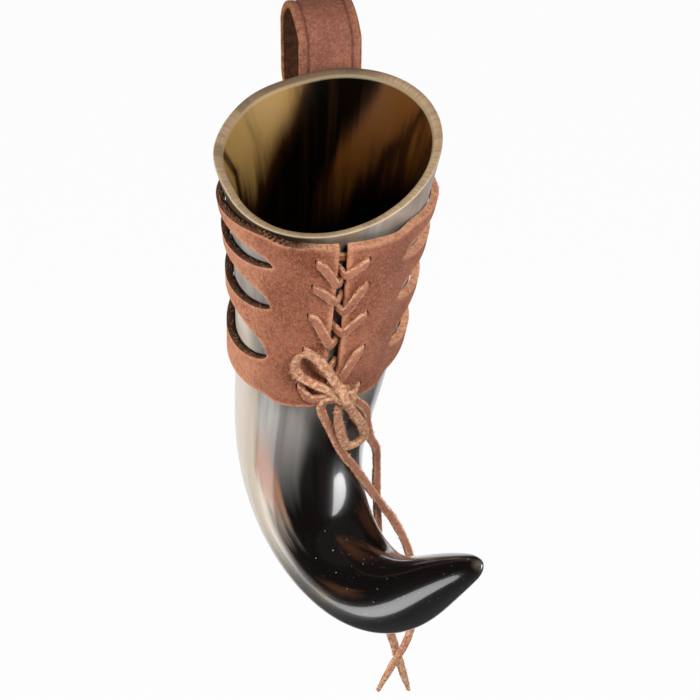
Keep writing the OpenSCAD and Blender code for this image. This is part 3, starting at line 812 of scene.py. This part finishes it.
def makeLacing():
    ends = [knotAt + np.array([side*lacing["knotHalf"], 0, 0]) for side in (-1, 1)]
    points = [ends[0]] + [knotAt + np.array(p) for p in lacing["slack"]]
    points += strandPoints(-1, lacing["diveLeft"])[::-1] + [lacePoint(holeS(0), 0.0, -turnR)]
    points += strandPoints(1, lacing["diveRight"]) + [ends[1]]
    piece = laceStrip("frontLacing", threadLine(points, lace["step"]), knotDown, 31, **lacing["looks"])
    standFor(piece, "front_lacing", "holster")
    return piece


frontLacing = makeLacing()
print("lacing made")


# finishes

def tone(red, green, blue):  # a screen colour as Blender's own
    shares = [c/255 for c in (red, green, blue)]
    return tuple(c/12.92 if c <= 0.04045 else ((c + 0.055)/1.055)**2.4 for c in shares) + (1,)


def inTones(look):
    return {key: tone(*value) if isinstance(value, tuple) else value for key, value in look.items()}


def feed(node, inputs):
    for key, value in inputs.items():
        if isinstance(value, Value):
            value.tree.links.new(value.socket, node.inputs[key])
        else:
            node.inputs[key].default_value = value


def put(tree, kind, inputs=None, **settings):  # a new node, which then gives its outputs by name or number
    node = tree.nodes.new("ShaderNode" + kind)
    for key, value in settings.items():
        setattr(node, key, value)
    feed(node, inputs or {})
    return lambda key: Value(tree, node.outputs[key])


class Value:  # an output that more nodes are reckoned from
    def __init__(self, tree, socket):
        self.tree = tree
        self.socket = socket

    def calc(self, operation, other=0.0):
        return put(self.tree, "Math", {0: self, 1: other}, operation=operation)(0)

    def __add__(self, other):
        return self.calc("ADD", other)

    def __sub__(self, other):
        return self.calc("SUBTRACT", other)

    def __rsub__(self, other):
        return put(self.tree, "Math", {0: other, 1: self}, operation="SUBTRACT")(0)

    def __mul__(self, other):
        return self.calc("MULTIPLY", other)

    def __truediv__(self, other):
        return self.calc("DIVIDE", other)

    def rise(self, low, high):  # 0 below low and 1 above high
        inputs = {"Value": self, "From Min": low, "From Max": high}
        return put(self.tree, "MapRange", inputs, interpolation_type="SMOOTHSTEP")(0)

    def fall(self, low, high):
        return 1.0 - self.rise(low, high)

    def band(self, centre, half, soft):
        inputs = {"Value": self, "Centre": centre, "Half": half, "Soft": soft}
        return put(self.tree, "Group", inputs, node_tree=softBand)("Mask")

    def sway(self, size):  # noise as a shift to either side
        return self*size - size/2

    def stretched(self, *scale):
        return put(self.tree, "VectorMath", {0: self, 1: scale}, operation="MULTIPLY")(0)

    def noise(self, scale, detail, rough):
        inputs = {"Vector": self, "Scale": scale, "Detail": detail, "Roughness": rough}
        return put(self.tree, "TexNoise", inputs)("Fac")

    def bump(self, strength, distance):
        return put(self.tree, "Bump", {"Height": self, "Strength": strength, "Distance": distance})(0)


def mix(under, over, share, how="MIX"):
    return put(share.tree, "Mix", {0: share, 6: under, 7: over}, data_type="RGBA", blend_type=how)(2)


def stored(tree, name, output="Fac"):
    return put(tree, "Attribute", attribute_name=name)(output)


def objectPlace(tree):
    return put(tree, "TexCoord")("Object")


def pattern(tree, group, size):
    return put(tree, "Group", {"Vector": objectPlace(tree), "Size": size}, node_tree=group)


def newGroup(name, inputs, outputs):
    tree = bpy.data.node_groups.new(name, "ShaderNodeTree")
    for way, keys in (("INPUT", inputs), ("OUTPUT", outputs)):
        for key in keys:
            kind = "NodeSocketVector" if key == "Vector" else "NodeSocketFloat"
            tree.interface.new_socket(name=key, in_out=way, socket_type=kind)
    sockets = tree.nodes.new("NodeGroupInput").outputs
    return tree, [Value(tree, sockets[key]) for key in inputs], tree.nodes.new("NodeGroupOutput")


def makeSoftBand():  # 1 within a band round a centre, fading at its sides
    tree, given, out = newGroup("softBand", ["Value", "Centre", "Half", "Soft"], ["Mask"])
    value, centre, half, soft = given
    away = (value - centre).calc("ABSOLUTE")
    feed(out, {"Mask": ((away - half)/soft).fall(0.0, 1.0)})
    return tree


def makeLeatherGrain():  # mottled tone, pores and fine creases
    tree, (place, size), out = newGroup("leatherGrain", ["Vector", "Size"], ["Tone", "Speckle", "Height"])
    sized = put(tree, "VectorMath", {0: place, "Scale": size}, operation="SCALE")(0)
    fine = sized.noise(1500.0, 3.0, 0.7)
    pores = put(tree, "TexVoronoi", {"Vector": sized, "Scale": 900.0}, feature="DISTANCE_TO_EDGE")("Distance")
    mottle = sized.noise(48.0, 4.0, 0.55)*0.42 + sized.noise(760.0, 5.0, 0.72)*0.58
    feed(out, {"Tone": mottle, "Speckle": fine, "Height": pores.rise(0.0, 0.16)*0.6 + fine*0.7})
    return tree


def makeFibreFuzz():  # loose fibres of a raw edge or a flesh side
    tree, (place, size), out = newGroup("fibreFuzz", ["Vector", "Size"], ["Tone"])
    sized = put(tree, "VectorMath", {0: place, "Scale": size}, operation="SCALE")(0)
    feed(out, {"Tone": sized.noise(520.0, 4.0, 0.65)*0.55 + sized.noise(1900.0, 3.0, 0.7)*0.45})
    return tree


softBand = makeSoftBand()
leatherGrain = makeLeatherGrain()
fibreFuzz = makeFibreFuzz()


def newFinish(name):
    finish = bpy.data.materials.new(name)
    finish.use_nodes = True
    return finish, finish.node_tree, finish.node_tree.nodes["Principled BSDF"]


def dress(piece, finish):
    piece.data.materials.clear()
    piece.data.materials.append(finish)


def grainLeather(name, look):
    look = inTones(look)
    finish, tree, shader = newFinish(name)
    grain = pattern(tree, leatherGrain, look["size"])
    mottle = grain("Tone")
    colour = mix(look["dark"], look["light"], mottle.rise(0.37, 0.63))
    colour = mix(colour, look["speck"], grain("Speckle").rise(0.52, 0.72)*look["speckle"])
    if "litSideShare" in look:  # painted light: the left side paler, as if lit from the left
        colour = mix(colour, look["paler"], stored(tree, "litSide")*mottle.rise(0.3, 0.62)*look["litSideShare"])
    edge = stored(tree, "fromEdge")
    # edges paler where worn; the same pale tone paints the light on the left side
    paler = edge.fall(0.0, look["wearReach"]*mm)*mottle.rise(0.3, 0.6)
    colour = mix(colour, look["paler"], paler*look["wear"])
    if "crease" in look:  # a line pressed in along each edge
        crease = edge.band(strap["creaseIn"]*mm, 0.25*mm, 0.5*mm)
        colour = mix(colour, look["dark"], crease*look["crease"], "MULTIPLY")
    rough = put(tree, "MapRange", {"Value": mottle, "From Min": 0.3, "From Max": 0.7,
                                   "To Min": look["rough"] + 0.08, "To Max": look["rough"] - 0.06})(0)
    feed(shader, {"Base Color": colour, "Roughness": rough, "Specular IOR Level": 0.13,
                  "Normal": grain("Height").bump(look["bump"], 0.00035)})
    return finish


def rawLeather(name, look):
    look = inTones(look)
    finish, tree, shader = newFinish(name)
    fuzz = pattern(tree, fibreFuzz, look["size"])("Tone")
    colour = mix(look["dark"], look["light"], fuzz.rise(0.32, 0.66))
    if "shaded" in look:  # painted shade, partly dark dye, darkens the edges on one side
        shaded = mix(look["shaded"], look["shadedPale"], fuzz.rise(0.36, 0.66))
        colour = mix(colour, shaded, stored(tree, "tintShare"))
    feed(shader, {"Base Color": colour, "Roughness": 0.92, "Specular IOR Level": 0.2,
                  "Normal": fuzz.bump(look["bump"], 0.0006)})
    return finish


def laceLeather(name, look):
    look = inTones(look)
    finish, tree, shader = newFinish(name)
    fuzz = pattern(tree, fibreFuzz, look["size"])("Tone")
    grain = pattern(tree, leatherGrain, look["size"])("Tone")
    face = mix(look["dark"], look["light"], grain.rise(0.35, 0.65))
    edge = mix(look["edgeDark"], look["edgeLight"], fuzz.rise(0.4, 0.62))
    ragged = (fuzz*0.9 + stored(tree, "stripAcross")).rise(1.0, 1.4)
    height = put(tree, "SeparateXYZ", {0: objectPlace(tree)})(2)
    # painted light: the hanging tails paler towards their lower ends, as if lit from behind
    endLight = height.fall(look["litEndLow"]*mm, look["litEndHigh"]*mm)*look["litEndShare"]
    feed(shader, {"Base Color": mix(face, edge, ragged.calc("MAXIMUM", endLight)), "Roughness": 0.8,
                  "Specular IOR Level": 0.15, "Normal": fuzz.bump(look["bump"], 0.0011)})
    return finish


grainLook = {"size": 1.0, "speck": (206, 150, 120), "paler": (214, 150, 116), "wearReach": 2.0, "rough": 0.6,
             "bump": 0.5}
# the sleeve's tones; its last share sets the painted light on the left side
sleeveLook = dict(grainLook, dark=(122, 69, 49), light=(168, 106, 81), speckle=0.65, wear=0.9, litSideShare=0.75)
strapLook = dict(grainLook, dark=(122, 76, 60), light=(155, 101, 82), speckle=0.35, wear=0.3, crease=0.5)
# tones of the cut edges, with the dark tones of the painted shade, which stands partly for dark dye
shadedCutLook = {"size": 1.0, "shaded": (14, 8, 5), "shadedPale": (48, 28, 18), "bump": 0.9}
sleeveCut = dict(shadedCutLook, dark=(180, 116, 86), light=(236, 182, 146))
strapCut = dict(shadedCutLook, dark=(84, 52, 34), light=(178, 122, 88))
fleshLook = {"size": 0.8, "dark": (52, 31, 20), "light": (98, 60, 39), "bump": 0.9}
# the lace's tones; the last three keys set painted light on the tails' lower ends
laceLook = {"size": 1.2, "dark": (150, 93, 71), "light": (192, 132, 104), "edgeDark": (178, 116, 86),
            "edgeLight": (240, 194, 156), "bump": 1.0, "litEndLow": -235, "litEndHigh": -190, "litEndShare": 0.75}

for piece, look, cutLook in ((leatherSleeve, sleeveLook, sleeveCut), (beltLoop, strapLook, strapCut)):
    piece.data.materials.append(grainLeather(piece.name + "Grain", look))
    piece.data.materials.append(rawLeather(piece.name + "Flesh", fleshLook))
    piece.data.materials.append(rawLeather(piece.name + "Edge", cutLook))

# frayed edges: most along the top, fewer round the slots and the seam
frayList = [  # edge, from and to angle, hairs for each degree, longest hair, and how much painted shade darkens them
    (0, -95, -3, 2.6, 1.6, 0.9), (0, 4, 95, 2.0, 1.4, 0.1), (7, -90, 90, 0.5, 0.9, 0.2),
    (2, -128, -42, 0.7, 1.0, 0.6), (4, -128, -46, 0.7, 1.0, 0.6), (6, -128, -50, 0.7, 1.0, 0.6),
    (2, 42, 128, 0.8, 1.1, 0.1), (4, 46, 128, 0.8, 1.1, 0.1), (6, 50, 128, 0.8, 1.1, 0.1),
]
sleeveFray = {"thick": 0.11, "short": 0.3, "lean": 0.3, "scatter": 0.55}
seamFray = {"from": 22, "to": 92, "count": 60, "long": 0.9, "lean": 0.5, "scatter": 0.5}


def fraySleeve():
    rng = np.random.RandomState(41)
    roots, ways, lengths, shadeShares = [], [], [], []
    for line, low, high, density, longest, shaded in frayList:
        count = int((high - low)*density)
        t = rng.uniform(low, high, count)
        s = edgeLine(line, t)
        roots.append(onHorn(s, t, sleeveIn(t) + rng.uniform(0.1, 0.95, count)*sleeve["thick"])/mm)
        away = (along(s) if line == 7 else -along(s)) + sleeveFray["lean"]*outward(s, t)
        ways.append(away + rng.normal(0, sleeveFray["scatter"], (count, 3)))
        lengths.append(rng.uniform(sleeveFray["short"], longest, count))
        shadeShares.append(shaded*rng.uniform(0.3, 1.1, count).clip(0, 1))
    count = seamFray["count"]
    for side in (-1, 1):
        s = rng.uniform(seamFray["from"], seamFray["to"], count)
        t = side*seamTurn(s)
        roots.append(onHorn(s, t, seamIn + rng.uniform(0.3, 0.95, count)*sleeve["thick"])/mm)
        away = seamFray["lean"]*outward(s, t) - side*np.cross(outward(s, t), along(s))
        ways.append(away + rng.normal(0, seamFray["scatter"], (count, 3)))
        lengths.append(rng.uniform(sleeveFray["short"], seamFray["long"], count))
        shadeShares.append(np.zeros(count))
    roots, ways, lengths, shadeShares = [np.concatenate(rows) for rows in (roots, ways, lengths, shadeShares)]
    fibres = looseFibres("sleeveFibres", roots, ways, lengths, sleeveFray["thick"], rng)
    # painted shade on the fibres, darkest along the left
    storeValues(fibres, "tintShare", np.repeat(shadeShares, len(fibres.data.vertices)//len(shadeShares)))
    fibres.data.materials.append(leatherSleeve.data.materials[2])
    joinTo(leatherSleeve, fibres)


fraySleeve()
laceFinish = laceLeather("laceLeather", laceLook)
for piece in bow + [frontLacing]:
    dress(piece, laceFinish)
print("leather finished")

# horn: grey and streaked at the mouth, black and polished below, with a cream and a tan streak down the left
hornLook = {
    "grey": (124, 120, 116), "pale": (166, 160, 154), "brownRim": (128, 110, 90), "black": (15, 12, 11),
    "shadeUnderLip": (66, 46, 30), "lipEdge": (206, 190, 160), "cream": (214, 200, 183),
    "creamGrey": (168, 156, 143), "tan": (168, 116, 86), "patch": (72, 43, 29), "olive": (128, 108, 74),
    "speck": (206, 200, 190),
    "lip": (182, 154, 121), "lipDark": (108, 88, 70), "innerLipHighlight": (172, 152, 118), "tip": (128, 116, 104),
    "inBlack": (4, 2, 1), "inOlive": (158, 124, 70), "inAmber": (90, 52, 15), "inBrown": (48, 25, 8),
    "bandShare": 0.92, "patchShare": 0.75, "patchCore": 0.2, "dustScale": 420, "dustShare": 0.8,
    "blackFrom": 110, "soonerRight": 44, "laterLeft": 50, "blackRun": 66, "driftFrom": 105, "driftTo": 172,
}
outerBands = [  # colour, first angle, drift, half width, softness, where it comes in, where it fades out
    ("cream", -84, 0.30, 22, 18, 35, 95, 168, 194),
    ("creamGrey", -126, 0.10, 18, 20, 35, 95, 150, 196),
    ("tan", -47, 0.15, 4, 8, 112, 142, 152, 182),
]
outerPatches = [  # colour, place along, angle, half length, half angle
    ("patch", 216, 14, 16, 12), ("patch", 222, -42, 13, 8), ("olive", 205, -63, 6, 9),
    ("patch", 196, 60, 18, 14), ("patch", 176, -42, 14, 10),
]
innerBands = [  # colour, angle at the lip, half width, softness, depth where it fades out
    ("inOlive", -128, 28, 36, 8, 62), ("inAmber", 125, 6, 20, 14, 76), ("inAmber", 90, 5, 18, 6, 54),
    ("inBrown", 60, 10, 26, 10, 40), ("inOlive", -66, 10, 30, 8, 40),
]


def hornFinish():
    look = inTones(hornLook)
    finish, tree, shader = newFinish("polishedHorn")
    place = stored(tree, "hornPlace", "Vector")
    fromLip = stored(tree, "fromLip")
    parts = put(tree, "SeparateXYZ", {0: place})
    turn = parts(1).calc("ARCTAN2", parts(0))*(180/math.pi)
    length = parts(2)*100.0
    broad = place.stretched(2.2, 2.2, 1.6).noise(1.0, 4.0, 0.55)
    streaks = place.stretched(7, 7, 0.8).noise(1.0, 6.0, 0.6)
    hairlines = place.stretched(42, 42, 1.3).noise(1.0, 3.0, 0.6)
    turned = turn + broad.sway(26) + streaks.sway(16)
    run = length + streaks.sway(44)

    # outside
    grey = mix(look["grey"], look["pale"], streaks.rise(0.3, 0.7))
    grey = mix(grey, look["brownRim"], hairlines.rise(0.5, 0.7)*0.16)
    grey = mix(grey, look["brownRim"], fromLip.fall(2, 16)*broad.rise(0.3, 0.6))
    # painted shade: a dark brown band under the lip on the left, above the sleeve
    shadeUnderLipShare = turned.band(-66, 40, 24)*fromLip.rise(0.7, 1.6)*fromLip.fall(9, 14)
    grey = mix(grey, look["shadeUnderLip"], shadeUnderLipShare*0.9)
    start = (turn.rise(-14, 0) - turn.rise(60, 110))*-look["soonerRight"] + look["blackFrom"]
    start = turn.band(-80, 26, 18)*look["laterLeft"] + start
    darkness = ((run - start)/look["blackRun"]).rise(0, 1)
    outer = mix(grey, look["black"], darkness.calc("POWER", 0.75))
    drifted = length.calc("MINIMUM", look["driftTo"]) - look["driftFrom"]
    for key, angle, drift, half, soft, begin, full, low, high in outerBands:
        mask = turned.band(drifted*drift + angle, half, soft)*run.fall(low, high)*length.rise(begin, full)
        outer = mix(outer, look[key], mask*look["bandShare"])
    for key, spot, angle, halfRun, halfTurn in outerPatches:
        mask = run.band(spot, halfRun*look["patchCore"], halfRun)
        mask = mask*turned.band(angle, halfTurn*look["patchCore"], halfTurn)
        outer = mix(outer, look[key], mask*look["patchShare"])
    outer = mix(outer, look["tip"], length.rise(294, 299)*0.6)
    dots = put(tree, "TexVoronoi", {"Vector": objectPlace(tree), "Scale": look["dustScale"]})
    few = put(tree, "SeparateColor", {0: dots("Color")})(0).calc("GREATER_THAN", 0.4)
    dust = dots("Distance").fall(0.04, 0.1)*few*length.rise(165, 200)
    outer = mix(outer, look["speck"], dust*look["dustShare"])

    # inside
    depth = fromLip*-1.0
    sunk = depth + streaks.sway(60)
    leaned = depth*-0.75 + turned
    inner = mix(look["inBlack"], look["inBrown"], streaks.rise(0.5, 0.75)*0.4)
    for key, angle, half, soft, low, high in innerBands:
        mask = leaned.band(angle, half, soft)*sunk.fall(low, high)*broad.rise(0.2, 0.5)
        inner = mix(inner, look["inBrown"], mask.rise(0.0, 0.6))
        inner = mix(inner, look[key], mask.rise(0.3, 1.0))
    # painted highlight: a pale line just inside the lip
    inner = mix(inner, look["innerLipHighlight"], depth.band(1.5, 0.3, 0.8)*0.7)
    colour = mix(outer, inner, depth.rise(0.4, 1.0))

    # lip: painted light makes it paler on the right, painted shade darker at the back and in front
    pale = turn.band(0, 18, 40)*-0.25 + broad.rise(0.24, 0.5)
    pale = turn.calc("ABSOLUTE").rise(120, 160)*-0.9 + pale
    pale = turn.band(70, 50, 30)*0.4 + pale
    lipTone = mix(look["lipDark"], look["lip"], pale)
    lipTone = mix(lipTone, look["lipDark"], hairlines.rise(0.42, 0.62)*0.35)
    lip = fromLip.calc("ABSOLUTE").fall(0.6, 1.3)
    colour = mix(colour, lipTone, lip)
    colour = mix(colour, look["lipEdge"], fromLip.band(0.55, 0.1, 0.3)*0.6)

    lightness = 1.0 - darkness
    matt = lip*0.25 + (streaks*0.06 + (lightness*0.16 + 0.26))
    polish = fromLip.rise(10, 90)*(darkness*0.5 + 0.5)
    feed(shader, {"Base Color": colour, "Roughness": matt, "IOR": 1.54, "Coat Weight": polish,
                  "Coat Roughness": 0.09, "Normal": (hairlines*lightness).bump(0.2, 0.0003)})
    return finish


dress(horn, hornFinish())
print("horn finished")

# rivets: aged brass
rivetLook = {"bright": (196, 158, 92), "dull": (128, 96, 52)}


def rivetFinish():
    look = inTones(rivetLook)
    finish, tree, shader = newFinish("rivetBrass")
    place = objectPlace(tree)
    tintShare = place.noise(420.0, 4.0, 0.6)
    scratch = place.stretched(300, 4000, 900).noise(1.0, 3.0, 0.6)
    feed(shader, {"Base Color": mix(look["dull"], look["bright"], tintShare.rise(0.35, 0.65)), "Metallic": 1.0,
                  "Roughness": tintShare*-0.25 + 0.5, "Normal": scratch.bump(0.15, 0.0001)})
    return finish


brass = rivetFinish()
for node in ("rivet_posts", "rivet_caps"):
    dress(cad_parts[node], brass)
print("rivets finished")

# studio: a white floor and wall, with paper behind the horn and a dark bench before it in the polish
stageLook = {
    "floorAt": -1.2, "reach": 12, "wallHigh": 9, "sides": 96, "paper": 0.93, "bench": 0.08, "benchEdge": 0.75,
    "paperHalf": 1.35, "soft": 0.15, "paperTop": 0.0, "glow": 0.97, "worldTone": 0.06,
}
middle = (0, -0.06, -0.08)
lampList = [  # name, place, aim, roll, width, height, power, fills the shade or shines on the polish
    ("tallCard", (0.63, -0.51, -0.38), (0.01, -0.055, -0.155), 29, 0.46, 1.36, 11.0, "shine"),
    ("hookCard", (-0.53, -0.12, -0.63), (0.02, -0.115, -0.2), 0, 0.34, 0.34, 0.8, "shine"),
    ("keyLamp", (0.25, -1.0, 0.75), middle, 0, 0.3, 0.3, 11.5, "fill"),
    ("leftFill", (-1.0, -0.8, 0.1), middle, 0, 0.8, 0.8, 11.5, "fill"),
    ("rightFill", (1.05, -0.75, 0.1), middle, 0, 0.8, 0.8, 8.6, "fill"),
    ("leftRim", (-1.15, 0.35, 0.1), middle, 0, 0.8, 0.8, 9, "fill"),
    ("backFill", (0.2, 1.2, 0.4), (0, -0.05, -0.05), 0, 1.0, 1.0, 8, "fill"),
]


def paperFinish():
    finish, tree, shader = newFinish("studioPaper")
    place = put(tree, "SeparateXYZ", {0: objectPlace(tree)})
    edge, half, top, soft = [stageLook[key] for key in ("benchEdge", "paperHalf", "paperTop", "soft")]
    behind = place(1).rise(edge - soft, edge + soft)*place(0).calc("ABSOLUTE").fall(half - soft, half + soft)
    behind = behind*place(2).fall(top - soft, top + soft)
    bench, paper = [(stageLook[key],)*3 + (1,) for key in ("bench", "paper")]
    feed(shader, {"Base Color": mix(bench, paper, behind), "Roughness": 0.9})
    ray = put(tree, "LightPath")
    mirrored = ray("Is Glossy Ray").calc("MAXIMUM", ray("Is Transmission Ray"))
    seen = ray("Is Camera Ray").calc("MAXIMUM", mirrored*behind)
    glow = put(tree, "Emission", {"Color": (1, 1, 1, 1), "Strength": 1.0})(0)
    mixed = put(tree, "MixShader", {0: seen*stageLook["glow"], 1: Value(tree, shader.outputs[0]), 2: glow})(0)
    feed(tree.nodes["Material Output"], {"Surface": mixed})
    return finish


def makeStage():  # a round floor with its wall, open above
    bpy.ops.mesh.primitive_cylinder_add(
        vertices=stageLook["sides"], radius=stageLook["reach"], depth=stageLook["wallHigh"],
        location=(0, 0, stageLook["floorAt"] + stageLook["wallHigh"]/2))
    backdrop = bpy.context.object
    backdrop.name = "backdrop"
    bpy.ops.object.transform_apply(location=True, rotation=False, scale=False)
    deleteFaces(backdrop, lambda face: face.normal.z > 0.5)
    dress(backdrop, paperFinish())
    world = bpy.data.worlds.new("studio")
    world.use_nodes = True
    feed(world.node_tree.nodes["Background"], {"Color": (1, 1, 1, 1), "Strength": stageLook["worldTone"]})
    scene.world = world


def makeLamps():
    for name, at, aim, roll, width, height, power, use in lampList:
        bpy.ops.object.light_add(type="AREA", location=at)
        lamp = bpy.context.object
        lamp.name = name
        facing = (Vector(aim) - Vector(at)).to_track_quat("-Z", "Y")
        lamp.rotation_euler = (facing @ Quaternion((0, 0, 1), math.radians(roll))).to_euler()
        lamp.data.shape = "ELLIPSE"
        lamp.data.size = width
        lamp.data.size_y = height
        lamp.data.energy = power
        lamp.visible_glossy = use == "shine"
        lamp.visible_diffuse = use == "fill"
        lamp.visible_camera = False


makeStage()
makeLamps()
print("stage set")
